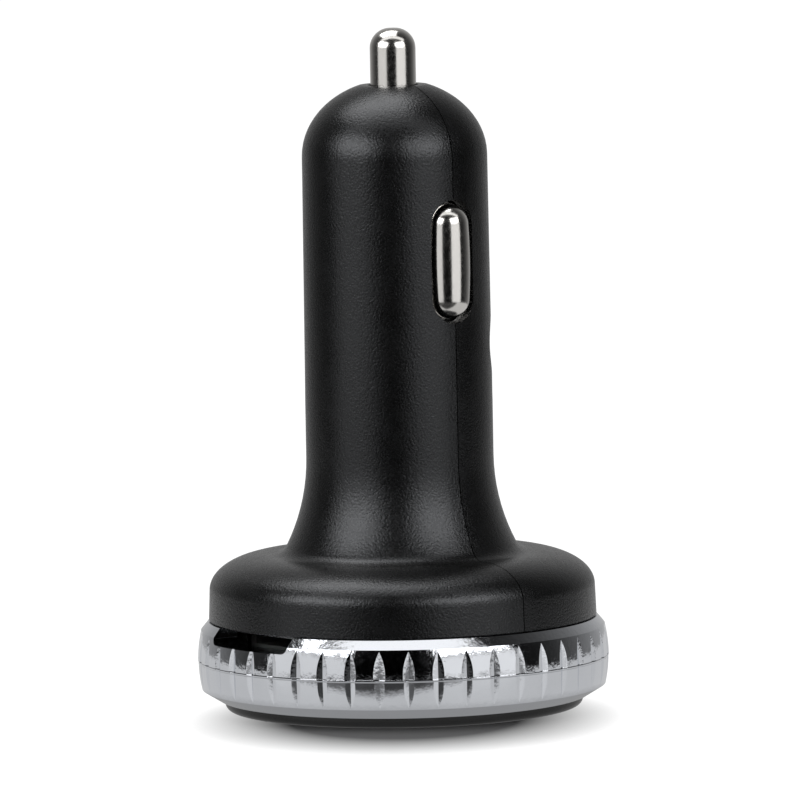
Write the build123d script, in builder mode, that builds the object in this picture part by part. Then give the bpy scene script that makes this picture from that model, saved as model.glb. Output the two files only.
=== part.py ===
"""Car FM transmitter: a cigarette lighter plug with a round head that rests on its display face.

The plug's axis is Z and its tip points up. The origin is the centre of the face that the part rests on.
The seam of the two half shells lies in the XZ plane, the ground contacts point to +X and -X, the memory
card slot faces -Y and the USB socket lies on the +Y side of the face. All sizes are in millimetres.
"""

import os
from math import acos, asin, degrees, sqrt

from build123d import *

# Plug outside, radii from the axis and heights above the resting face
barrel_radius = 10.25
nose_radius = 10.12
taper_start = 33.5
dome_base = 60.5
dome_height = 8.35
nose_flat_radius = 3.77
flare_top = 27.6
flare_radius = 21.3
root_fillet = 1.8
seam_width = 0.12
seam_depth = 0.35

# Flange of the shells, above the ring
flange_bottom = 9.85
flange_radius = 21.22
flange_draft = 0.12
flange_edge = 0.15
shoulder_base = 13.2
shoulder_width = 6.4
shoulder_height = 3.8
flange_wall = 1.8
ceiling_thickness = 1.6
barrel_wall = 1.6

# Tip pin and its spring chamber
pin_radius = 2.5
pin_top = 74.45
pin_round = 2.2
pin_clearance = 0.25
collar_radius = 3.5
collar_height = 1.2
collar_clearance = 0.3
collar_gap = 0.05
nose_wall = 2.75
chamber_floor = 53.5
chamber_floor_thickness = 1.5
chamber_wall = 1.2
spring_stub_radius = 2.2
spring_stub_length = 1.4
spring_wire = 0.5
spring_turns = 6
spring_gap = 0.1
lead_radius = 0.5
lead_clearance = 0.2
lead_gap = 0.05
lead_overlap = 3.0
lead_disc_thickness = 0.4

# Ground contacts and their slots in the seam
contact_height = 49.45
contact_length = 12.6
contact_width = 4.8
contact_crown = 11.5
contact_bow = 0.12
contact_ledge = 0.05
slot_clearance = 0.45
contact_plate_overlap = 1.1
contact_plate_thickness = 0.5
contact_wall_gap = 0.2
contact_tab_width = 2.0
contact_tab_thickness = 0.4
contact_tab_overlap = 1.6
contact_tab_gap = 0.1

# Oval recess in the rear half shell
recess_height = 39.8
recess_half_width = 7.75
recess_half_length = 5.9
recess_depth = 0.4

# Chrome ring
ring_bottom = 1.2
ring_top = 9.8
ring_bore_radius = 19.0
ring_foot_radius = 20.2
ring_low_edge = 2.35
ring_low_radius = 22.1
ring_ridge = 5.55
ring_ridge_radius = 22.5
ring_high_edge = 8.85
ring_high_radius = 22.1
ring_top_radius = 21.3
ring_bulge = 0.09
ring_step = 0.04
notch_count = 44
notch_width = 1.3
notch_depth = 0.21
notch_end_gap = 0.03
notch_reach = 3.0
card_slot_width = 13.0
card_slot_floor = 8.1
card_slot_corner = 0.7

# Front panel: a cup with the display face at its foot
panel_radius = 19.6
panel_edge = 0.8
face_recess_radius = 17.3
face_recess_depth = 0.5
face_thickness = 1.4
panel_wall = 1.4
panel_wall_top = 12.6
ring_fit = 0.1
bead_height = 11.0
bead_width = 0.8
bead_bite = 0.3
bead_clearance = 0.1
card_window_margin = 0.3
card_window_floor = 7.5
card_window_top = 9.75

# Main board in the head
board_bottom = 6.2
board_thickness = 1.2
board_clearance = 0.2
board_screw_spacing_x = 26.0
board_screw_spacing_y = 15.5
board_screw_offset = 0.5
boss_radius = 1.8
boss_hole_depth = 3.8
screw_radius = 0.8
screw_head_radius = 1.6
screw_head_height = 1.0
screw_clearance = 0.15

# Card socket on the main board
card_socket_width = 13.2
card_socket_length = 14.0
card_socket_height = 1.75
card_socket_front = 15.9
card_mouth_width = 11.4
card_mouth_height = 1.0
card_mouth_depth = 13.0
card_socket_base = 0.45

# Display
display_offset = 8.3
window_width = 20.0
window_height = 8.0
window_thickness = 0.9
window_corner = 1.5
window_ledge = 0.9
window_clearance = 0.1
display_width = 18.8
display_depth = 8.6
display_gap = 0.1

# Buttons in a row across the face, and their switches
button_row = 0.9
button_spacing = 11.0
call_button_radius = 3.5
side_button_radius = 2.8
button_proud = 0.3
button_travel = 0.4
button_clearance = 0.15
button_collar = 0.7
button_collar_height = 0.6
button_collar_gap = 0.08
button_edge = 0.2
button_stem_radius = 1.5
button_stem_length = 0.4
switch_size = 4.5
switch_bottom = 3.6
plunger_radius = 1.1
plunger_depth = 1.0
plunger_clearance = 0.2

# USB socket
usb_offset = 10.3
usb_inner_width = 12.5
usb_inner_height = 5.12
usb_sheet = 0.3
usb_length = 12.2
usb_gap = 0.1
usb_mouth_margin = 0.1
usb_tongue_width = 11.1
usb_tongue_thickness = 1.84
usb_tongue_side_gap = 0.72
usb_tongue_setback = 0.6
usb_block_length = 3.0
usb_board_gap = 0.3

# Microphone
microphone_inset = 4.8
microphone_y = 4.9
microphone_radius = 1.9
microphone_hole_radius = 0.6
microphone_gap = 0.1

# Power board inside the barrel and what is soldered to it
power_board_width = 15.0
power_board_thickness = 1.2
power_board_neck_width = 9.4
power_board_neck = 41.0
power_board_top_gap = 1.0
capacitor_radius = 3.1
capacitor_length = 10.0
capacitor_bottom = 24.0
capacitor_gap = 0.4
inductor_size = 7.0
inductor_height = 4.0
inductor_middle = 31.0
converter_length = 5.0
converter_width = 4.0
converter_height = 1.5
converter_middle = 39.0
fuse_radius = 1.2
fuse_length = 7.0
fuse_height = 22.5
header_width = 10.2
header_depth = 2.5
header_height = 2.5

# Chips on the main board
radio_module_width = 6.5
radio_module_length = 9.0
radio_module_height = 1.2
audio_chip_size = 5.0
audio_chip_height = 0.9
chip_offset = 11.8

# Pegs that line up the half shells
peg_radius = 0.8
peg_length = 2.0
peg_clearance = 0.1
peg_boss_radius = 1.7
peg_boss_length = 4.0
peg_boss_sink = 0.3
flange_peg_x = 14.2
nose_peg_height = 59.8

# Sizes that follow from those above
flange_top = shoulder_base + shoulder_height
nose_top = dome_base + dome_height * sqrt(1 - (nose_flat_radius / nose_radius) ** 2)
ceiling = flange_top - ceiling_thickness
shell_bore = flange_radius - flange_wall
shoulder_centre = flange_radius - flange_draft - shoulder_width
barrel_bore = barrel_radius - barrel_wall
nose_bore = nose_radius - barrel_wall
flare_drop = flare_top - flange_top
flare_foot = barrel_radius + flare_radius - sqrt(flare_radius**2 - flare_drop**2)
collar_stop = nose_top - nose_wall
chamber_radius = collar_radius + collar_clearance
chamber_outside = chamber_radius + chamber_wall
collar_top = collar_stop - collar_gap
collar_bottom = collar_top - collar_height
chamber_underside = chamber_floor - chamber_floor_thickness
lead_disc_top = chamber_floor + lead_disc_thickness
slot_length = contact_length + 2 * slot_clearance
slot_width = contact_width + 2 * slot_clearance
plate_half_width = contact_width / 2 + contact_plate_overlap
plate_half_length = contact_length / 2 + contact_plate_overlap
plate_front = sqrt((barrel_bore - contact_wall_gap) ** 2 - plate_half_width**2)
plate_back = plate_front - contact_plate_thickness
contact_bulge = contact_width / 2 - contact_ledge
contact_round = contact_bulge - contact_bow
contact_end = contact_round + contact_ledge
contact_axis = contact_crown - contact_bulge
panel_wall_outside = ring_bore_radius - ring_fit
panel_wall_inside = panel_wall_outside - panel_wall
bead_radius = shell_bore + bead_bite
notch_foot = ring_ridge_radius - notch_depth
face_front = face_recess_depth
face_back = face_recess_depth + face_thickness
board_radius = panel_wall_inside - board_clearance
board_top = board_bottom + board_thickness
board_face = power_board_thickness / 2
power_board_top = chamber_underside - power_board_top_gap
usb_outer_width = usb_inner_width + 2 * usb_sheet
usb_outer_height = usb_inner_height + 2 * usb_sheet
usb_front = face_back + usb_gap
microphone_x = button_spacing - microphone_inset
button_collar_bottom = face_back + button_collar_gap
button_stem_bottom = button_collar_bottom + button_collar_height
button_stem_top = button_stem_bottom + button_stem_length
lead_offset = board_face + lead_radius + lead_gap

os.makedirs("parts", exist_ok=True)


def save(piece, name):
    """Names a finished piece and writes it under that name."""
    piece.part.label = name
    export_step(piece.part, f"parts/{name}.step")


def shell_outline(inset):
    """Face between the axis and the outside of the plug, drawn inset from the true surface."""
    rim = flange_radius - inset
    top = flange_top - inset
    foot = flare_foot - inset
    nose_angle = degrees(acos(nose_flat_radius / nose_radius))
    with BuildLine() as outline:
        dome = EllipticalCenterArc(
            (0, dome_base), nose_radius - inset, dome_height - inset, arc_size=nose_angle
        )
        taper = Line(dome @ 0, (barrel_radius - inset, taper_start))
        barrel = Line(taper @ 1, (barrel_radius - inset, flare_top))
        flare = TangentArc(barrel @ 1, (foot, top), tangent=(0, -1))
        shoulder = EllipticalCenterArc(
            (shoulder_centre, shoulder_base), shoulder_width - inset, shoulder_height - inset, arc_size=90
        )
        Line(flare @ 1, shoulder @ 1)
        wall = Line(shoulder @ 0, (rim, flange_bottom + flange_edge))
        edge = Line(wall @ 1, (rim - flange_edge, flange_bottom))
        Polyline(edge @ 1, (0, flange_bottom), (0, (dome @ 1).Y), dome @ 1)
    make_face(outline.edges())
    fillet(vertices().sort_by_distance((foot, top))[0], root_fillet + inset)


def head_space():
    """Hollow of the flange, the barrel and the nose around the spring chamber."""
    dome_bore = dome_height - barrel_wall
    chamber_angle = degrees(asin(sqrt(1 - (chamber_outside / nose_bore) ** 2)))
    with BuildLine() as outline:
        dome = EllipticalCenterArc((0, dome_base), nose_bore, dome_bore, arc_size=chamber_angle)
        taper = Line(dome @ 0, (barrel_bore, taper_start))
        barrel = Line(taper @ 1, (barrel_bore, ceiling))
        shoulder_bore = shell_bore - shoulder_centre
        shoulder_rise = ceiling - shoulder_base
        shoulder = EllipticalCenterArc(
            (shoulder_centre, shoulder_base), shoulder_bore, shoulder_rise, arc_size=90
        )
        Line(barrel @ 1, shoulder @ 1)
        wall = Line(shoulder @ 0, (shell_bore, flange_bottom))
        floor = Polyline(wall @ 1, (0, flange_bottom), (0, chamber_underside))
        Polyline(floor @ 1, (chamber_outside, chamber_underside), dome @ 1)
    make_face(outline.edges(), mode=Mode.SUBTRACT)


def chamber_space():
    """Spring chamber and the bore of the tip pin."""
    with Locations((0, chamber_floor)):
        Rectangle(
            chamber_radius, collar_stop - chamber_floor, align=(Align.MIN, Align.MIN), mode=Mode.SUBTRACT
        )
    with Locations((0, collar_stop)):
        Rectangle(
            pin_radius + pin_clearance, 2 * nose_wall, align=(Align.MIN, Align.MIN), mode=Mode.SUBTRACT
        )


def bead_groove():
    """Groove around the inside of the flange for the front panel's bead."""
    with Locations((shell_bore, bead_height - bead_clearance)):
        Rectangle(
            2 * (bead_bite + bead_clearance),
            bead_width + 2 * bead_clearance,
            align=(Align.CENTER, Align.MIN),
            mode=Mode.SUBTRACT,
        )


# Groove left along the outside of the seam
with BuildPart() as seam_groove:
    with BuildSketch(Plane.XZ):
        with Locations((0, flange_bottom)):
            Rectangle(3 * flange_radius, nose_top, align=(Align.CENTER, Align.MIN))
    extrude(amount=seam_width / 2, both=True)
    with BuildSketch(Plane.XZ):
        shell_outline(seam_depth)
    revolve(axis=Axis.Z, mode=Mode.SUBTRACT)


def side_plane(side):
    """Upright plane through the axis whose sketches turn about Z into the rear (+1) or front (-1) half."""
    return Plane((0, 0, 0), x_dir=(side, 0, 0), z_dir=(0, -side, 0))


def peg_places():
    """Spots on the seam plane for the pegs: under the flange's ceiling and beside the spring chamber."""
    flange_peg_z = ceiling + peg_boss_sink - peg_boss_radius
    nose_peg_x = (chamber_outside + nose_bore) / 2
    return Locations(
        (flange_peg_x, flange_peg_z),
        (-flange_peg_x, flange_peg_z),
        (nose_peg_x, nose_peg_height),
        (-nose_peg_x, nose_peg_height),
    )


def shell_half(side):
    """Half of the moulded shell with its seam groove, contact slots and peg bosses."""
    inward = -side * peg_boss_length
    with BuildPart() as half:
        with BuildSketch(side_plane(side)):
            shell_outline(0)
            head_space()
            chamber_space()
            bead_groove()
        revolve(axis=Axis.Z, revolution_arc=180)
        with BuildSketch(Plane.XZ):
            with peg_places():
                Circle(peg_boss_radius + peg_clearance)
        extrude(amount=inward)
        add(seam_groove.part, mode=Mode.SUBTRACT)
        for way in (1, -1):
            with BuildSketch(Plane.YZ.offset(way * (chamber_outside + barrel_bore) / 2)):
                with Locations((0, contact_height)):
                    SlotOverall(slot_length, slot_width, rotation=90)
            extrude(amount=way * barrel_radius, mode=Mode.SUBTRACT)
    return half


# Front half shell, with the holes for the pegs
with BuildPart() as front_half_shell:
    add(shell_half(-1).part)
    with BuildSketch(Plane.XZ):
        with peg_places():
            Circle(peg_radius + peg_clearance)
    extrude(amount=peg_length + peg_clearance, mode=Mode.SUBTRACT)
save(front_half_shell, "front_half_shell")

# Rear half shell, with the pegs, the hole for the tip lead and the oval recess
with BuildPart() as recess_tool:
    with BuildSketch(Plane.XZ):
        with Locations((0, recess_height)):
            Ellipse(recess_half_width, recess_half_length)
    extrude(amount=-2 * barrel_radius)
    Cylinder(barrel_radius - recess_depth, 2 * pin_top, mode=Mode.SUBTRACT)
with BuildPart() as rear_half_shell:
    add(shell_half(1).part)
    with BuildSketch(Plane.XZ):
        with peg_places():
            Circle(peg_radius)
    extrude(amount=peg_length)
    with BuildSketch(Plane.XY.offset(chamber_underside)):
        with Locations((0, lead_offset)):
            Circle(lead_radius + lead_clearance)
    extrude(amount=chamber_floor_thickness, mode=Mode.SUBTRACT)
    add(recess_tool.part, mode=Mode.SUBTRACT)
save(rear_half_shell, "rear_half_shell")

# Tip pin with the collar that stops it inside the nose
with BuildPart() as tip_pin:
    with BuildSketch(Plane.XZ):
        with BuildLine():
            dome = CenterArc((pin_radius - pin_round, pin_top - pin_round), pin_round, 0, 90)
            shank = Polyline(dome @ 0, (pin_radius, collar_top), (collar_radius, collar_top))
            collar = Polyline(shank @ 1, (collar_radius, collar_bottom), (spring_stub_radius, collar_bottom))
            stub_end = collar_bottom - spring_stub_length
            Polyline(collar @ 1, (spring_stub_radius, stub_end), (0, stub_end), (0, pin_top), dome @ 1)
        make_face()
    revolve(axis=Axis.Z)
save(tip_pin, "tip_pin")

# Spring between the chamber's floor and the pin's collar
spring_radius = collar_radius - spring_gap - spring_wire / 2
spring_start = lead_disc_top + spring_gap + spring_wire / 2
spring_height = collar_bottom - spring_gap - spring_wire / 2 - spring_start
with BuildPart() as tip_spring:
    with BuildLine() as coil:
        Helix(spring_height / spring_turns, spring_height, spring_radius, center=(0, 0, spring_start))
    with BuildSketch(Plane(coil.line @ 0, z_dir=coil.line % 0)):
        Circle(spring_wire / 2)
    sweep(path=coil.line, is_frenet=True)
save(tip_spring, "tip_spring")

# Lead that takes the tip's current from the spring to the power board
with BuildPart() as tip_lead:
    with BuildSketch(Plane.XY.offset(chamber_floor)):
        Circle(chamber_radius - lead_clearance)
    extrude(amount=lead_disc_thickness)
    with BuildSketch(Plane.XY.offset(chamber_floor)):
        with Locations((0, lead_offset)):
            Circle(lead_radius)
    extrude(amount=-(chamber_floor - power_board_top + lead_overlap))
save(tip_lead, "tip_lead")


def ground_contact(side):
    """Bowed pill that shows in the slot, on a wider plate that keeps it inside the barrel."""
    low = contact_height - contact_length / 2
    high = contact_height + contact_length / 2
    outward = Plane((side * plate_back, 0, 0), x_dir=(0, side, 0), z_dir=(side, 0, 0))
    tab_start = power_board_neck_width / 2 - contact_tab_overlap
    tab_reach = plate_front - tab_start
    tab_middle = side * (tab_start + tab_reach / 2)
    tab_face = board_face + contact_tab_gap + contact_tab_thickness / 2
    with BuildPart() as pill:
        with BuildSketch(Plane.XZ):
            with BuildLine():
                foot = CenterArc((0, low + contact_end), contact_round, -90, 90)
                head = CenterArc((0, high - contact_end), contact_round, 0, 90)
                ThreePointArc(foot @ 1, (contact_bulge, contact_height), head @ 0)
                Line(head @ 1, foot @ 0)
            make_face()
        revolve(axis=Axis.Z)
        split(bisect_by=Plane.YZ, keep=Keep.TOP if side > 0 else Keep.BOTTOM)
    with BuildPart() as contact:
        with BuildSketch(outward):
            with Locations((0, contact_height)):
                SlotOverall(contact_length, contact_width, rotation=90)
        extrude(amount=contact_axis - plate_back)
        with Locations((side * contact_axis, 0, 0)):
            add(pill.part)
        with BuildSketch(outward):
            with Locations((0, contact_height)):
                SlotOverall(2 * plate_half_length, 2 * plate_half_width, rotation=90)
        extrude(amount=contact_plate_thickness)
        with Locations((tab_middle, tab_face, low + contact_tab_width / 2)):
            Box(tab_reach, contact_tab_thickness, contact_tab_width)
    return contact


save(ground_contact(1), "ground_contact_right")
save(ground_contact(-1), "ground_contact_left")

# Tool for one notch: a V whose foot leans inwards from the ridge to both edges of the ring
with BuildPart() as notch_tool:
    for height, foot in (
        (ring_low_edge, ring_low_radius + notch_end_gap),
        (ring_ridge, notch_foot),
        (ring_high_edge, ring_high_radius + notch_end_gap),
    ):
        mouth = foot + notch_reach * notch_depth
        mouth_half = notch_reach * notch_width / 2
        with BuildSketch(Plane.XY.offset(height)):
            Polygon((foot, 0), (mouth, -mouth_half), (mouth, mouth_half), align=None)
    loft(ruled=True)

# Chrome ring: convex bands that meet at a ridge, cut by notches along the axis and by the card slot
with BuildPart() as chrome_ring:
    with BuildSketch(Plane.XZ):
        with BuildLine():
            foot = Polyline((ring_bore_radius, ring_bottom), (ring_foot_radius, ring_bottom))
            bevel = Line(foot @ 1, (ring_low_radius, ring_low_edge))
            low_ridge_radius = ring_ridge_radius - ring_step
            low_bulge = (ring_low_radius + low_ridge_radius) / 2 + ring_bulge
            low_band = ThreePointArc(
                bevel @ 1,
                (low_bulge, (ring_low_edge + ring_ridge) / 2),
                (low_ridge_radius, ring_ridge),
            )
            step = Line(low_band @ 1, (ring_ridge_radius, ring_ridge))
            high_bulge = (ring_high_radius + ring_ridge_radius) / 2 + ring_bulge
            high_band = ThreePointArc(
                step @ 1,
                (high_bulge, (ring_high_edge + ring_ridge) / 2),
                (ring_high_radius, ring_high_edge),
            )
            top = Polyline(high_band @ 1, (ring_top_radius, ring_top), (ring_bore_radius, ring_top))
            Line(top @ 1, foot @ 0)
        make_face()
    revolve(axis=Axis.Z)
    with PolarLocations(0, notch_count, start_angle=180 / notch_count - 90):
        add(notch_tool.part, mode=Mode.SUBTRACT)
    with BuildSketch(Plane.XZ.offset(ring_bore_radius / 2)) as card_slot:
        with Locations((0, card_slot_floor)):
            Rectangle(card_slot_width, ring_top, align=(Align.CENTER, Align.MIN))
        fillet(card_slot.vertices().group_by(Axis.Y)[0], card_slot_corner)
    extrude(amount=ring_ridge_radius, mode=Mode.SUBTRACT)
save(chrome_ring, "chrome_ring")


def screw_places():
    """Spots of the main board's screws."""
    return [
        (place.position.X, place.position.Y + board_screw_offset)
        for place in GridLocations(board_screw_spacing_x, board_screw_spacing_y, 2, 2)
    ]


button_sizes = {
    "previous_button": (-button_spacing, side_button_radius),
    "call_button": (0, call_button_radius),
    "next_button": (button_spacing, side_button_radius),
}

# Front panel: recessed face inside a resting rim, and the wall that carries the ring and the shells
with BuildPart() as front_panel:
    with BuildSketch(Plane.XZ):
        with BuildLine():
            rim = Polyline(
                (0, face_front),
                (face_recess_radius, face_front),
                (face_recess_radius, 0),
                (panel_radius - panel_edge, 0),
            )
            edge = TangentArc(rim @ 1, (panel_radius, panel_edge), tangent=(1, 0))
            ledge = Polyline(edge @ 1, (panel_radius, ring_bottom), (panel_wall_outside, ring_bottom))
            bead = Polyline(
                ledge @ 1,
                (panel_wall_outside, bead_height),
                (bead_radius, bead_height),
                (bead_radius, bead_height + bead_width),
                (panel_wall_outside, bead_height + bead_width),
                (panel_wall_outside, panel_wall_top),
            )
            Polyline(
                bead @ 1,
                (panel_wall_inside, panel_wall_top),
                (panel_wall_inside, face_back),
                (0, face_back),
                rim @ 0,
            )
        make_face()
    revolve(axis=Axis.Z)
    with BuildSketch(Plane.XY):
        with Locations((0, -display_offset)):
            RectangleRounded(window_width - 2 * window_ledge, window_height - 2 * window_ledge, window_ledge)
        for place, radius in button_sizes.values():
            with Locations((place, button_row)):
                Circle(radius + button_clearance)
        with Locations((0, usb_offset)):
            Rectangle(usb_inner_width + 2 * usb_mouth_margin, usb_inner_height + 2 * usb_mouth_margin)
        with Locations((-microphone_x, microphone_y)):
            Circle(microphone_hole_radius)
    extrude(amount=face_back, mode=Mode.SUBTRACT)
    with BuildSketch(Plane.XY.offset(face_front)):
        with Locations((0, -display_offset)):
            RectangleRounded(
                window_width + 2 * window_clearance, window_height + 2 * window_clearance, window_corner
            )
    extrude(amount=window_thickness, mode=Mode.SUBTRACT)
    with BuildSketch(Plane.XZ.offset(panel_wall_inside / 2)):
        with Locations((0, card_window_floor)):
            Rectangle(
                card_socket_width + 2 * card_window_margin,
                card_window_top - card_window_floor,
                align=(Align.CENTER, Align.MIN),
            )
    extrude(amount=panel_radius, mode=Mode.SUBTRACT)
    with BuildSketch(Plane.XY.offset(face_back)):
        with Locations(*screw_places()):
            Circle(boss_radius)
    extrude(amount=board_bottom - face_back)
    with BuildSketch(Plane.XY.offset(board_bottom)):
        with Locations(*screw_places()):
            Circle(screw_radius)
    extrude(amount=-boss_hole_depth, mode=Mode.SUBTRACT)
save(front_panel, "front_panel")

# Smoked window in front of the display
with BuildPart() as display_window:
    with BuildSketch(Plane.XY.offset(face_front)):
        with Locations((0, -display_offset)):
            RectangleRounded(window_width, window_height, window_corner)
    extrude(amount=window_thickness)
save(display_window, "display_window")

# Display module between the face and the main board
with BuildPart() as display_module:
    with BuildSketch(Plane.XY.offset(face_back + display_gap)):
        with Locations((0, -display_offset)):
            Rectangle(display_width, display_depth)
    extrude(amount=board_bottom - face_back - display_gap)
save(display_module, "display_module")

# Buttons and the switch plungers that move with them
for button_name, (place, radius) in button_sizes.items():
    with BuildPart() as button:
        with BuildSketch(Plane.XY.offset(face_front - button_proud)):
            with Locations((place, button_row)):
                Circle(radius)
        extrude(amount=button_collar_bottom - face_front + button_proud)
        fillet(button.edges().group_by(Axis.Z)[0], button_edge)
        with BuildSketch(Plane.XY.offset(button_collar_bottom)):
            with Locations((place, button_row)):
                Circle(radius + button_collar)
        extrude(amount=button_collar_height)
        with BuildSketch(Plane.XY.offset(button_stem_bottom)):
            with Locations((place, button_row)):
                Circle(button_stem_radius)
        extrude(amount=button_stem_length)
    save(button, button_name)
    with BuildPart() as plunger:
        with BuildSketch(Plane.XY.offset(button_stem_top)):
            with Locations((place, button_row)):
                Circle(plunger_radius)
        extrude(amount=switch_bottom + plunger_depth - button_stem_top)
    save(plunger, button_name.replace("button", "plunger"))

# Switch housings under the main board
with BuildPart() as switch_housings:
    with BuildSketch(Plane.XY.offset(switch_bottom)):
        with Locations((-button_spacing, button_row), (0, button_row), (button_spacing, button_row)):
            Rectangle(switch_size, switch_size)
            Circle(plunger_radius + plunger_clearance, mode=Mode.SUBTRACT)
    extrude(amount=plunger_depth + button_travel + plunger_clearance)
    with BuildSketch(Plane.XY.offset(board_bottom)):
        with Locations((-button_spacing, button_row), (0, button_row), (button_spacing, button_row)):
            Rectangle(switch_size, switch_size)
    extrude(amount=switch_bottom + plunger_depth + button_travel + plunger_clearance - board_bottom)
save(switch_housings, "switch_housings")

# Microphone in its boot, behind a hole in the face
with BuildPart() as microphone:
    with BuildSketch(Plane.XY.offset(face_back + microphone_gap)):
        with Locations((-microphone_x, microphone_y)):
            Circle(microphone_radius)
    extrude(amount=board_bottom - face_back - microphone_gap)
save(microphone, "microphone")

# Main board, with the cut-out that the USB socket passes through
with BuildPart() as main_board:
    with BuildSketch(Plane.XY.offset(board_bottom)):
        Circle(board_radius)
        with Locations((0, usb_offset)):
            Rectangle(
                usb_outer_width + 2 * usb_board_gap, usb_outer_height + 2 * usb_board_gap, mode=Mode.SUBTRACT
            )
        with Locations(*screw_places()):
            Circle(screw_radius + screw_clearance, mode=Mode.SUBTRACT)
    extrude(amount=board_thickness)
save(main_board, "main_board")

# Screws that hold the main board on the panel's bosses
with BuildPart() as board_screws:
    with BuildSketch(Plane.XY.offset(board_top)):
        with Locations(*screw_places()):
            Circle(screw_head_radius)
    extrude(amount=screw_head_height)
    with BuildSketch(Plane.XY.offset(board_top)):
        with Locations(*screw_places()):
            Circle(screw_radius)
    extrude(amount=-(board_thickness + boss_hole_depth - screw_clearance))
save(board_screws, "board_screws")

# Memory card socket on the main board, open towards the card slot
with BuildPart() as card_socket:
    with BuildSketch(Plane.XY.offset(board_top)):
        with Locations((0, -card_socket_front)):
            Rectangle(card_socket_width, card_socket_length, align=(Align.CENTER, Align.MIN))
    extrude(amount=card_socket_height)
    with BuildSketch(Plane.XZ.offset(card_socket_front)):
        with Locations((0, board_top + card_socket_base)):
            Rectangle(card_mouth_width, card_mouth_height, align=(Align.CENTER, Align.MIN))
    extrude(amount=-card_mouth_depth, mode=Mode.SUBTRACT)
save(card_socket, "card_socket")

# USB socket: folded sheet shell and the plastic block with its tongue
with BuildPart() as usb_shell:
    with BuildSketch(Plane.XY.offset(usb_front)):
        with Locations((0, usb_offset)):
            Rectangle(usb_outer_width, usb_outer_height)
            Rectangle(usb_inner_width, usb_inner_height, mode=Mode.SUBTRACT)
    extrude(amount=usb_length)
save(usb_shell, "usb_shell")
with BuildPart() as usb_tongue:
    with BuildSketch(Plane.XY.offset(usb_front + usb_tongue_setback)):
        with Locations((0, usb_offset - usb_inner_height / 2 + usb_tongue_side_gap)):
            Rectangle(usb_tongue_width, usb_tongue_thickness, align=(Align.CENTER, Align.MIN))
    extrude(amount=usb_length - usb_tongue_setback)
    with BuildSketch(Plane.XY.offset(usb_front + usb_length)):
        with Locations((0, usb_offset)):
            Rectangle(usb_inner_width, usb_inner_height)
    extrude(amount=-usb_block_length)
save(usb_tongue, "usb_tongue")

# Radio module and audio chip on the main board
with BuildPart() as radio_module:
    with BuildSketch(Plane.XY.offset(board_top)):
        with Locations((-chip_offset, 0)):
            Rectangle(radio_module_width, radio_module_length)
    extrude(amount=radio_module_height)
save(radio_module, "radio_module")
with BuildPart() as audio_chip:
    with BuildSketch(Plane.XY.offset(board_top)):
        with Locations((chip_offset, 0)):
            Rectangle(audio_chip_size, audio_chip_size)
    extrude(amount=audio_chip_height)
save(audio_chip, "audio_chip")

# Power board on the seam plane, standing on the main board and narrow between the ground contacts
with BuildPart() as power_board:
    with BuildSketch(Plane.XZ):
        with Locations((0, board_top)):
            Rectangle(power_board_width, power_board_neck - board_top, align=(Align.CENTER, Align.MIN))
            Rectangle(power_board_neck_width, power_board_top - board_top, align=(Align.CENTER, Align.MIN))
    extrude(amount=board_face, both=True)
save(power_board, "power_board")

# Header that joins the two boards
with BuildPart() as board_header:
    with Locations((0, board_face + header_depth / 2, board_top + header_height / 2)):
        Box(header_width, header_depth, header_height)
save(board_header, "board_header")

# Filter capacitors on the rear face of the power board
with BuildPart() as filter_capacitors:
    with BuildSketch(Plane.XY.offset(capacitor_bottom)):
        spacing = 2 * capacitor_radius + capacitor_gap
        with Locations((0, board_face + capacitor_radius)):
            with GridLocations(spacing, 0, 2, 1):
                Circle(capacitor_radius)
    extrude(amount=capacitor_length)
save(filter_capacitors, "filter_capacitors")

# Inductor, converter chip and fuse on the front face of the power board
with BuildPart() as inductor:
    with BuildSketch(Plane.XZ.offset(board_face)):
        with Locations((0, inductor_middle)):
            RectangleRounded(inductor_size, inductor_size, inductor_size / 5)
    extrude(amount=inductor_height)
save(inductor, "inductor")
with BuildPart() as converter_chip:
    with BuildSketch(Plane.XZ.offset(board_face)):
        with Locations((0, converter_middle)):
            Rectangle(converter_width, converter_length)
    extrude(amount=converter_height)
save(converter_chip, "converter_chip")
with BuildPart() as fuse:
    with BuildSketch(Plane.YZ):
        with Locations((-board_face - fuse_radius, fuse_height)):
            Circle(fuse_radius)
    extrude(amount=fuse_length / 2, both=True)
save(fuse, "fuse")
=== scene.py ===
"""Car FM transmitter standing on its display face on a white table, lit by softboxes."""

from math import cos, pi, radians, sin, tan

import bmesh
import bpy
from mathutils import Matrix, Vector


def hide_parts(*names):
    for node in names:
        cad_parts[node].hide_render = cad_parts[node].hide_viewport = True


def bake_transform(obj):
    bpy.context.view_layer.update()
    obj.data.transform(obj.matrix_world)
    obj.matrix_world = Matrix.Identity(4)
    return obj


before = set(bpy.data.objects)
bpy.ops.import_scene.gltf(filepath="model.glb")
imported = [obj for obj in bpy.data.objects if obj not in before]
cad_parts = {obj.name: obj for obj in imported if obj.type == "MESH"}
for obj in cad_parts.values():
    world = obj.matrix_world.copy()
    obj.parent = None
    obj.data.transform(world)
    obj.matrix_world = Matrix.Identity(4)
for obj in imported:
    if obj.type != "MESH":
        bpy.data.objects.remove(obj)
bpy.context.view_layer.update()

MM = 0.001

# Photograph: where the camera stood and where the origin falls in its 800 pixel frame
CAMERA_AZIMUTH = 51.8
CAMERA_ELEVATION = 7.3
CAMERA_DISTANCE = 1265 * MM
CAMERA_ROLL = -1.03
FOCAL_PIXELS = 11540.0
IMAGE_PIXELS = 800.0
ORIGIN_PIXEL = (404.4, 705.8)
SENSOR_WIDTH = 36.0


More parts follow.
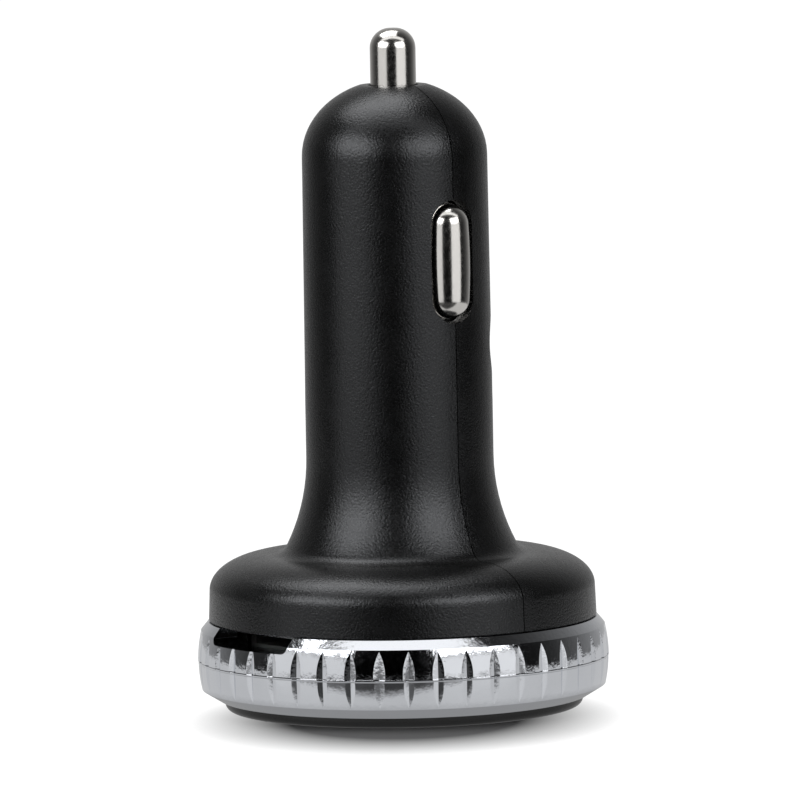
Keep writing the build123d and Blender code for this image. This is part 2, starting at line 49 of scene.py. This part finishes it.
def direction(azimuth, elevation):
    """Unit vector from the axis; azimuth 0 is -Y and 90 is +X."""
    a, e = radians(azimuth), radians(elevation)
    return Vector((sin(a) * cos(e), -cos(a) * cos(e), sin(e)))


def add_camera():
    """Camera whose ray through ORIGIN_PIXEL meets the origin of the frame."""
    data = bpy.data.cameras.new("photo_camera")
    data.sensor_width = SENSOR_WIDTH
    data.lens = FOCAL_PIXELS / IMAGE_PIXELS * SENSOR_WIDTH
    data.clip_start, data.clip_end = 0.05, 20.0
    camera = bpy.data.objects.new("photo_camera", data)
    bpy.context.scene.collection.objects.link(camera)
    back = direction(CAMERA_AZIMUTH, CAMERA_ELEVATION)
    half = IMAGE_PIXELS / 2
    ray = Vector((ORIGIN_PIXEL[0] - half, half - ORIGIN_PIXEL[1], -FOCAL_PIXELS)).normalized()
    aim = (-back).to_track_quat("-Z", "Y").to_matrix()
    roll = Matrix.Rotation(radians(CAMERA_ROLL), 3, "Z")
    offset = ray.rotation_difference(Vector((0, 0, -1))).to_matrix()
    camera.matrix_world = Matrix.Translation(back * CAMERA_DISTANCE) @ (aim @ roll @ offset).to_4x4()
    bpy.context.scene.camera = camera


class Finish:
    """Node material around one Principled shader, with short helpers for its textures."""

    def __init__(self, name, **sockets):
        self.material = bpy.data.materials.new(name)
        self.material.use_nodes = True
        self.nodes = self.material.node_tree.nodes
        self.links = self.material.node_tree.links
        self.shader = self.nodes["Principled BSDF"]
        self.place = self.nodes.new("ShaderNodeTexCoord").outputs["Object"]
        for socket, value in sockets.items():
            self.shader.inputs[socket.replace("_", " ")].default_value = value

    def join(self, source, target):
        """Links an output to an input, or sets a plain value."""
        if isinstance(source, bpy.types.NodeSocket):
            self.links.new(source, target)
        else:
            target.default_value = source

    def stretched(self, scale):
        """Object coordinates scaled unevenly, for brushed or drawn surfaces."""
        node = self.nodes.new("ShaderNodeMapping")
        node.inputs["Scale"].default_value = scale
        self.links.new(self.place, node.inputs["Vector"])
        return node.outputs["Vector"]

    def noise(self, size, detail=3.0, vector=None):
        """Noise whose features are about the given size in metres."""
        node = self.nodes.new("ShaderNodeTexNoise")
        node.inputs["Scale"].default_value = 1.0 / size
        node.inputs["Detail"].default_value = detail
        self.links.new(vector or self.place, node.inputs["Vector"])
        return node.outputs["Fac"]

    def cells(self, size, feature="F1"):
        """Cells of about the given size in metres: distance to the centre and a random colour."""
        node = self.nodes.new("ShaderNodeTexVoronoi")
        node.feature = feature
        node.inputs["Scale"].default_value = 1.0 / size
        self.links.new(self.place, node.inputs["Vector"])
        return node.outputs["Distance"], node.outputs["Color"] if feature == "F1" else None

    def math(self, operation, a, b=0.0):
        """Result of one operation on two outputs or numbers."""
        node = self.nodes.new("ShaderNodeMath")
        node.operation = operation
        self.join(a, node.inputs[0])
        self.join(b, node.inputs[1])
        return node.outputs["Value"]

    def along(self, way):
        """Distance from the axis along a direction."""
        node = self.nodes.new("ShaderNodeVectorMath")
        node.operation = "DOT_PRODUCT"
        node.inputs[1].default_value = way
        self.links.new(self.place, node.inputs[0])
        return node.outputs["Value"]

    def length(self, a, b):
        """Length of the long side of a right triangle with legs a and b."""
        return self.math("SQRT", self.math("ADD", self.math("POWER", a, 2.0), self.math("POWER", b, 2.0)))

    def between(self, value, low, high, to_low=0.0, to_high=1.0):
        """Value mapped from low..high to to_low..to_high, held at the ends."""
        node = self.nodes.new("ShaderNodeMapRange")
        ends = {"From Min": low, "From Max": high, "To Min": to_low, "To Max": to_high}
        for socket, number in ends.items():
            node.inputs[socket].default_value = number
        self.join(value, node.inputs["Value"])
        return node.outputs["Result"]

    def blend(self, factor, a, b):
        """Colour between a and b."""
        node = self.nodes.new("ShaderNodeMix")
        node.data_type = "RGBA"
        self.join(factor, node.inputs["Factor"])
        self.join(a, node.inputs[6])
        self.join(b, node.inputs[7])
        return node.outputs[2]

    def bump(self, height, depth, normal=None):
        """Surface relief: height 0 to 1 stands for the given depth in metres."""
        node = self.nodes.new("ShaderNodeBump")
        node.inputs["Distance"].default_value = depth
        self.links.new(height, node.inputs["Height"])
        if normal:
            self.links.new(normal, node.inputs["Normal"])
        return node.outputs["Normal"]

    def specks(self, spacing, radius, share):
        """1 on sparse round specks: one in each cell, kept in the given share of the cells."""
        distance, colour = self.cells(spacing)
        red = self.nodes.new("ShaderNodeSeparateColor")
        self.links.new(colour, red.inputs["Color"])
        near = self.between(distance, radius / spacing * 0.6, radius / spacing, 1.0, 0.0)
        return self.math("MULTIPLY", near, self.math("LESS_THAN", red.outputs["Red"], share))

    def set(self, **links):
        """Links outputs to the shader's sockets and returns the material."""
        for socket, source in links.items():
            self.links.new(source, self.shader.inputs[socket.replace("_", " ")])
        return self.material


def grey(value, tint=(1.0, 1.0, 1.0)):
    """Opaque colour of a brightness and a tint."""
    return tuple(value * t for t in tint) + (1.0,)


PLASTIC_IOR = 1.5
COOL_GLOSS = (0.94, 0.96, 1.0, 1.0)
DUST_RADIUS = 0.05 * MM


def moulded_plastic(name, tone, roughness, grain=0.23 * MM, depth=0.045 * MM, dust=0.12):
    """Black plastic from an eroded mould: fine grain, faint mottling and a few specks of dust."""
    finish = Finish(name, IOR=PLASTIC_IOR, Specular_Tint=COOL_GLOSS)
    mottle = finish.noise(2.5 * MM)
    fine = finish.noise(grain, detail=4.0)
    speck = finish.specks(1.7 * MM, DUST_RADIUS, dust)
    base = finish.blend(finish.between(mottle, 0.35, 0.65), grey(tone * 0.8), grey(tone * 1.2))
    colour = finish.blend(speck, base, grey(0.22))
    wear = finish.math("ADD", finish.math("MULTIPLY", mottle, 0.4), fine)
    rough = finish.between(wear, 0.4, 1.0, roughness - 0.05, roughness + 0.07)
    return finish.set(Base_Color=colour, Roughness=rough, Normal=finish.bump(fine, depth))


PARTING_CREST = 0.04 * MM
PARTING_FOOT = 0.16 * MM
PARTING_HEIGHT = 0.07 * MM


def plated_metal(name, tint, roughness, wave, dimple, smudge=0.05, parting=None):
    """Plated metal: waves and dimples of what is below, faint smudges, and a parting line at a height."""
    finish = Finish(name, Metallic=1.0)
    broad = finish.noise(3.5 * MM, detail=2.0)
    fine = finish.noise(0.5 * MM, detail=5.0)
    colour = finish.blend(finish.between(broad, 0.3, 0.7), grey(0.97, tint), grey(1.0, tint))
    rough = finish.between(fine, 0.4, 0.75, roughness, roughness + smudge)
    relief = finish.bump(broad, wave, finish.bump(fine, dimple))
    if parting:
        offset = finish.math("ABSOLUTE", finish.math("SUBTRACT", finish.along((0, 0, 1)), parting))
        bead = finish.between(offset, PARTING_CREST, PARTING_FOOT, 1.0, 0.0)
        relief = finish.bump(bead, PARTING_HEIGHT, relief)
    return finish.set(Base_Color=colour, Roughness=rough, Normal=relief)


def glossy_plastic(name, tone, roughness):
    """Polished black plastic with fine hairlines and dust."""
    finish = Finish(name, IOR=PLASTIC_IOR)
    hairs = finish.noise(0.25 * MM, detail=2.0, vector=finish.stretched((1.0, 0.05, 1.0)))
    broad = finish.noise(6 * MM)
    speck = finish.specks(2.4 * MM, DUST_RADIUS, 0.2)
    colour = finish.blend(speck, finish.blend(broad, grey(tone * 0.8), grey(tone * 1.2)), grey(0.18))
    rough = finish.between(hairs, 0.45, 0.75, roughness, roughness + 0.12)
    return finish.set(Base_Color=colour, Roughness=rough, Normal=finish.bump(broad, 0.01 * MM))


def smoked_window(name):
    """Clear plastic tinted nearly black."""
    finish = Finish(name, IOR=1.49, Transmission_Weight=0.85)
    hairs = finish.noise(0.3 * MM, detail=2.0, vector=finish.stretched((0.06, 1.0, 1.0)))
    haze = finish.noise(5 * MM)
    colour = finish.blend(haze, grey(0.10, (0.9, 0.95, 1.0)), grey(0.13, (0.9, 0.95, 1.0)))
    rough = finish.between(hairs, 0.5, 0.8, 0.03, 0.10)
    return finish.set(Base_Color=colour, Roughness=rough)


DOT_PITCH = 0.6 * MM
DOT_GAP = 0.03 * MM


def unlit_display(name):
    """Grey-green liquid crystal glass, off, with its faint grid."""
    finish = Finish(name)
    grid = finish.nodes.new("ShaderNodeTexBrick")
    finish.links.new(finish.place, grid.inputs["Vector"])
    grid.offset = 0.0
    sizes = {"Scale": 1.0, "Brick Width": DOT_PITCH, "Row Height": DOT_PITCH, "Mortar Size": DOT_GAP}
    for socket, value in sizes.items():
        grid.inputs[socket].default_value = value
    lit = finish.blend(grid.outputs["Fac"], (0.045, 0.055, 0.045, 1), (0.02, 0.024, 0.02, 1))
    rough = finish.between(finish.noise(1.5 * MM), 0.3, 0.7, 0.12, 0.22)
    return finish.set(Base_Color=lit, Roughness=rough)


def soft_rubber(name, tone):
    """Button rubber: matt, with a very fine grain and rubbed patches."""
    finish = Finish(name, Sheen_Weight=0.08)
    fine = finish.noise(0.09 * MM, detail=3.0)
    rub = finish.noise(2.2 * MM)
    colour = finish.blend(finish.between(rub, 0.4, 0.65), grey(tone), grey(tone * 1.5))
    rough = finish.between(rub, 0.3, 0.7, 0.55, 0.68)
    return finish.set(Base_Color=colour, Roughness=rough, Normal=finish.bump(fine, 0.004 * MM))


def circuit_board(name):
    """Green solder mask over copper tracks and woven glass."""
    finish = Finish(name, Coat_Weight=0.25, Coat_Roughness=0.2)
    edges, _ = finish.cells(2.2 * MM, "DISTANCE_TO_EDGE")
    track = finish.between(edges, 0.05, 0.09, 1.0, 0.0)
    weave = finish.noise(0.35 * MM, detail=2.0)
    mask = finish.blend(finish.between(weave, 0.35, 0.65), (0.012, 0.075, 0.035, 1), (0.018, 0.10, 0.05, 1))
    colour = finish.blend(track, mask, (0.04, 0.17, 0.07, 1))
    rough = finish.between(weave, 0.3, 0.7, 0.35, 0.5)
    return finish.set(Base_Color=colour, Roughness=rough, Normal=finish.bump(track, 0.03 * MM))


def epoxy(name, tone):
    """Moulded package of a chip or coil: dull, slightly pitted."""
    finish = Finish(name)
    pits = finish.noise(0.12 * MM, detail=4.0)
    broad = finish.noise(1.6 * MM)
    colour = finish.blend(broad, grey(tone * 0.8), grey(tone * 1.25))
    rough = finish.between(pits, 0.3, 0.7, 0.5, 0.7)
    return finish.set(Base_Color=colour, Roughness=rough, Normal=finish.bump(pits, 0.01 * MM))


def bare_metal(name, tint, roughness, scale=(1.0, 1.0, 0.04)):
    """Drawn or rolled sheet metal with fine marks along one way."""
    finish = Finish(name, Metallic=1.0)
    marks = finish.noise(0.1 * MM, detail=3.0, vector=finish.stretched(scale))
    broad = finish.noise(3.0 * MM)
    colour = finish.blend(broad, grey(0.9, tint), grey(1.0, tint))
    rough = finish.between(marks, 0.3, 0.7, roughness, roughness + 0.14)
    return finish.set(Base_Color=colour, Roughness=rough, Normal=finish.bump(marks, 0.003 * MM))


CHROME_TINT = (0.78, 0.80, 0.84)
NICKEL_TINT = (0.78, 0.76, 0.73)
STEEL_TINT = (0.62, 0.63, 0.62)
ALUMINIUM_TINT = (0.80, 0.81, 0.82)
ZINC_TINT = (0.66, 0.66, 0.64)
MARKS_ALONG_Y = (1.0, 0.05, 1.0)
RING_PARTING = 5.5 * MM

finishes = {
    ("front_half_shell", "rear_half_shell"): moulded_plastic("moulded_black_plastic", 0.003, 0.27),
    ("chrome_ring",): plated_metal(
        "chrome_plating", CHROME_TINT, 0.07, 0.012 * MM, 0.016 * MM, parting=RING_PARTING),
    ("tip_pin", "ground_contact_right", "ground_contact_left"): plated_metal(
        "nickel_plating", NICKEL_TINT, 0.16, 0.006 * MM, 0.0003 * MM, 0.08),
    ("front_panel",): glossy_plastic("polished_black_plastic", 0.012, 0.14),
    ("display_window",): smoked_window("smoked_window"),
    ("display_module",): unlit_display("unlit_display"),
    ("previous_button", "call_button", "next_button"): soft_rubber("button_rubber", 0.028),
    ("main_board", "power_board"): circuit_board("circuit_board"),
    ("radio_module", "audio_chip", "converter_chip", "inductor", "switch_housings", "board_header",
     "microphone"): epoxy("chip_package", 0.018),
    ("card_socket", "usb_shell"): bare_metal("rolled_steel", STEEL_TINT, 0.28),
    ("filter_capacitors", "fuse"): bare_metal("drawn_aluminium", ALUMINIUM_TINT, 0.3),
    ("board_screws", "tip_spring", "tip_lead"): bare_metal("zinc_wire", ZINC_TINT, 0.25, MARKS_ALONG_Y),
    ("usb_tongue", "previous_plunger", "call_plunger", "next_plunger"): moulded_plastic(
        "pale_insulator", 0.55, 0.5, dust=0.0),
}

# Shading of the solids: seams of the triangle patches are closed and only true edges stay sharp
SHARP_ANGLE = 28
RING_SHARP_ANGLE = 9
MERGE_DISTANCE = 0.0005 * MM


def shading_group(name, angle):
    """Geometry nodes that merge patch borders and keep edges sharper than an angle in degrees."""
    group = bpy.data.node_groups.new(name, "GeometryNodeTree")
    group.interface.new_socket("Geometry", in_out="INPUT", socket_type="NodeSocketGeometry")
    group.interface.new_socket("Geometry", in_out="OUTPUT", socket_type="NodeSocketGeometry")
    nodes, links = group.nodes, group.links
    start, end = nodes.new("NodeGroupInput"), nodes.new("NodeGroupOutput")
    plain = nodes.new("GeometryNodeRemoveAttribute")
    plain.inputs["Name"].default_value = "custom_normal"
    merge = nodes.new("GeometryNodeMergeByDistance")
    merge.inputs["Distance"].default_value = MERGE_DISTANCE
    smooth = nodes.new("GeometryNodeSetShadeSmooth")
    edge_angle = nodes.new("GeometryNodeInputMeshEdgeAngle")
    sharp = nodes.new("FunctionNodeCompare")
    sharp.operation = "GREATER_THAN"
    sharp.inputs["B"].default_value = radians(angle)
    crease = nodes.new("GeometryNodeSetShadeSmooth")
    crease.domain = "EDGE"
    crease.inputs["Shade Smooth"].default_value = False
    chain = (start, plain, merge, smooth, crease, end)
    for a, b in zip(chain, chain[1:]):
        links.new(a.outputs["Geometry"], b.inputs["Geometry"])
    links.new(edge_angle.outputs["Unsigned Angle"], sharp.inputs["A"])
    links.new(sharp.outputs["Result"], crease.inputs["Selection"])
    return group


even_shading = shading_group("even_shading", SHARP_ANGLE)
ring_shading = shading_group("ring_shading", RING_SHARP_ANGLE)
for names, material in finishes.items():
    for name in names:
        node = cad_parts[name]
        node.data.materials.clear()
        node.data.materials.append(material)
        shading = ring_shading if name == "chrome_ring" else even_shading
        node.modifiers.new("shading", "NODES").node_group = shading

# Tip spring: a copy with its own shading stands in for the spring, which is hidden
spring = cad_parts["tip_spring"]
live_spring = bpy.data.objects.new("live_tip_spring", spring.data.copy())
live_spring.matrix_world = spring.matrix_world
bpy.context.scene.collection.objects.link(live_spring)
live_spring.modifiers.new("shading", "NODES").node_group = even_shading
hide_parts("tip_spring")
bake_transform(live_spring)

# Table: one that the camera sees, with a painted shadow, and one that only reflections show, with painted
# shade
TABLE_RADIUS = 3.0
TABLE_ROUGHNESS = 0.6
TABLE_SPECULAR = 0.1
# Painted shadow on the table: its glow fades out in an oval around the object
PAINTED_SHADOW_TONE = 0.09
PAINTED_SHADOW_START = 12.5 * MM
PAINTED_SHADOW_END = 24.5 * MM
PAINTED_SHADOW_SHIFT = 12 * MM
PAINTED_SHADOW_STRETCH = 1.25
MIRRORED_RADIUS = 0.14
MIRRORED_DROP = 0.02 * MM
MIRRORED_TONE = 0.02
# Painted shade: the mirrored table glows less close to the object
CLOSE_START, CLOSE_END = 23 * MM, 28 * MM
PAINTED_SHADE_GLOW, OPEN_GLOW = 0.3, 0.56
WEDGE_BEARING = -10
WEDGE_SLOPE = 0.35
WEDGE_START, WEDGE_END = 30 * MM, 38 * MM
WEDGE_GLOW = 0.06


def disc(name, radius, steps=96):
    """Flat disc on the floor."""
    mesh = bmesh.new()
    turns = [2 * pi * i / steps for i in range(steps)]
    mesh.faces.new([mesh.verts.new((radius * cos(t), radius * sin(t), 0)) for t in turns])
    data = bpy.data.meshes.new(name)
    mesh.to_mesh(data)
    mesh.free()
    item = bpy.data.objects.new(name, data)
    bpy.context.scene.collection.objects.link(item)
    return item


def table_finish(name, tone, bearing=0):
    """Plain pale table, with distances across and along a way that starts towards the camera."""
    finish = Finish(name, Base_Color=grey(tone), Roughness=TABLE_ROUGHNESS, Emission_Color=grey(1.0))
    finish.shader.inputs["Specular IOR Level"].default_value = TABLE_SPECULAR
    across, along = (finish.along(direction(CAMERA_AZIMUTH + bearing + turn, 0)) for turn in (90, 0))
    return finish, across, along


def white_table(name):
    """White table with a painted shadow: its glow is dark in an oval, drawn out and shifted towards the
    camera.
    """
    finish, across, along = table_finish(name, PAINTED_SHADOW_TONE)
    # Painted shadow: the glow rises from nothing inside this oval to full white outside it
    along = finish.math("DIVIDE", finish.math("SUBTRACT", along, PAINTED_SHADOW_SHIFT), PAINTED_SHADOW_STRETCH)
    glow = finish.between(finish.length(across, along), PAINTED_SHADOW_START, PAINTED_SHADOW_END)
    return finish.set(Emission_Strength=glow)


def mirrored_table(name):
    """Glowing disc that only reflections show, standing in for the table: painted shade close by, and dark
    in a wedge that opens to the front.
    """
    finish, across, along = table_finish(name, MIRRORED_TONE, WEDGE_BEARING)
    side = finish.math("MULTIPLY", finish.math("ABSOLUTE", across), WEDGE_SLOPE)
    wedge = finish.math("SUBTRACT", along, side)
    # Painted shade: the glow is lower close to the object than further out
    close = finish.between(finish.length(across, along), CLOSE_START, CLOSE_END, PAINTED_SHADE_GLOW, OPEN_GLOW)
    front = finish.between(wedge, WEDGE_START, WEDGE_END, 1.0, WEDGE_GLOW)
    return finish.set(Emission_Strength=finish.math("MULTIPLY", close, front))


table = disc("table", TABLE_RADIUS)
table.data.materials.append(white_table("white_table"))
table.visible_glossy = False
table.visible_diffuse = False
mirrored = disc("mirrored_table", MIRRORED_RADIUS)
mirrored.location.z = -MIRRORED_DROP
mirrored.data.materials.append(mirrored_table("mirrored_table"))
mirrored.visible_camera = False
mirrored.visible_shadow = False

# Light: softboxes at both sides and overhead
LIGHT_CENTRE = Vector((0, 0, 35 * MM))
LIGHT_DISTANCE = 0.6
OVERHEAD_SHIFT = 0.16


def softbox(name, bearing, elevation, width, height, radiance):
    """Rectangular light aimed at the object, in degrees; bearing is to the right of the camera."""
    data = bpy.data.lights.new(name, "AREA")
    data.shape = "RECTANGLE"
    data.size = 2 * LIGHT_DISTANCE * tan(radians(width / 2))
    data.size_y = 2 * LIGHT_DISTANCE * tan(radians(height / 2))
    data.energy = radiance * pi * data.size * data.size_y
    light = bpy.data.objects.new(name, data)
    way = direction(CAMERA_AZIMUTH + bearing, elevation)
    light.location = LIGHT_CENTRE + way * LIGHT_DISTANCE
    light.rotation_mode = "QUATERNION"
    light.rotation_quaternion = way.to_track_quat("Z", "Y")
    light.visible_camera = False
    bpy.context.scene.collection.objects.link(light)
    return light


softbox("left_low", -56, -4, 48, 28, 0.74)
softbox("left_high", -54, 25, 46, 26, 4.2)
softbox("right_low", 42, -4, 50, 28, 0.9)
softbox("right_high", 40, 25, 44, 26, 3.8)
overhead = softbox("overhead", 180, 79, 50, 36, 3.5)
overhead.location += direction(CAMERA_AZIMUTH - 90, 0) * OVERHEAD_SHIFT
softbox("overhead_front", 0, 70, 96, 17, 1.15)

# Room: white to the camera, and for reflections brightest on the far side of the object
ROOM_LEVEL = 0.845
ROOM_FALLOFF = 4.4

world = bpy.data.worlds.new("white_room")
bpy.context.scene.world = world
world.use_nodes = True
room = world.node_tree
here = room.nodes.new("ShaderNodeTexCoord")
facing = room.nodes.new("ShaderNodeVectorMath")
facing.operation = "DOT_PRODUCT"
facing.inputs[1].default_value = -direction(CAMERA_AZIMUTH, 0)
room.links.new(here.outputs["Generated"], facing.inputs[0])
behind = room.nodes.new("ShaderNodeMapRange")
behind.inputs["From Min"].default_value = -1.0
behind.inputs["To Max"].default_value = ROOM_LEVEL
room.links.new(facing.outputs["Value"], behind.inputs["Value"])
steep = room.nodes.new("ShaderNodeMath")
steep.operation = "POWER"
steep.inputs[1].default_value = ROOM_FALLOFF
room.links.new(behind.outputs["Result"], steep.inputs[0])
seen = room.nodes.new("ShaderNodeLightPath")
strength = room.nodes.new("ShaderNodeMath")
strength.operation = "MAXIMUM"
room.links.new(steep.outputs["Value"], strength.inputs[0])
room.links.new(seen.outputs["Is Camera Ray"], strength.inputs[1])
background = room.nodes["Background"]
background.inputs["Color"].default_value = grey(1.0)
room.links.new(strength.outputs["Value"], background.inputs["Strength"])

add_camera()
scene = bpy.context.scene
scene.view_settings.view_transform = "Standard"
scene.view_settings.look = "None"
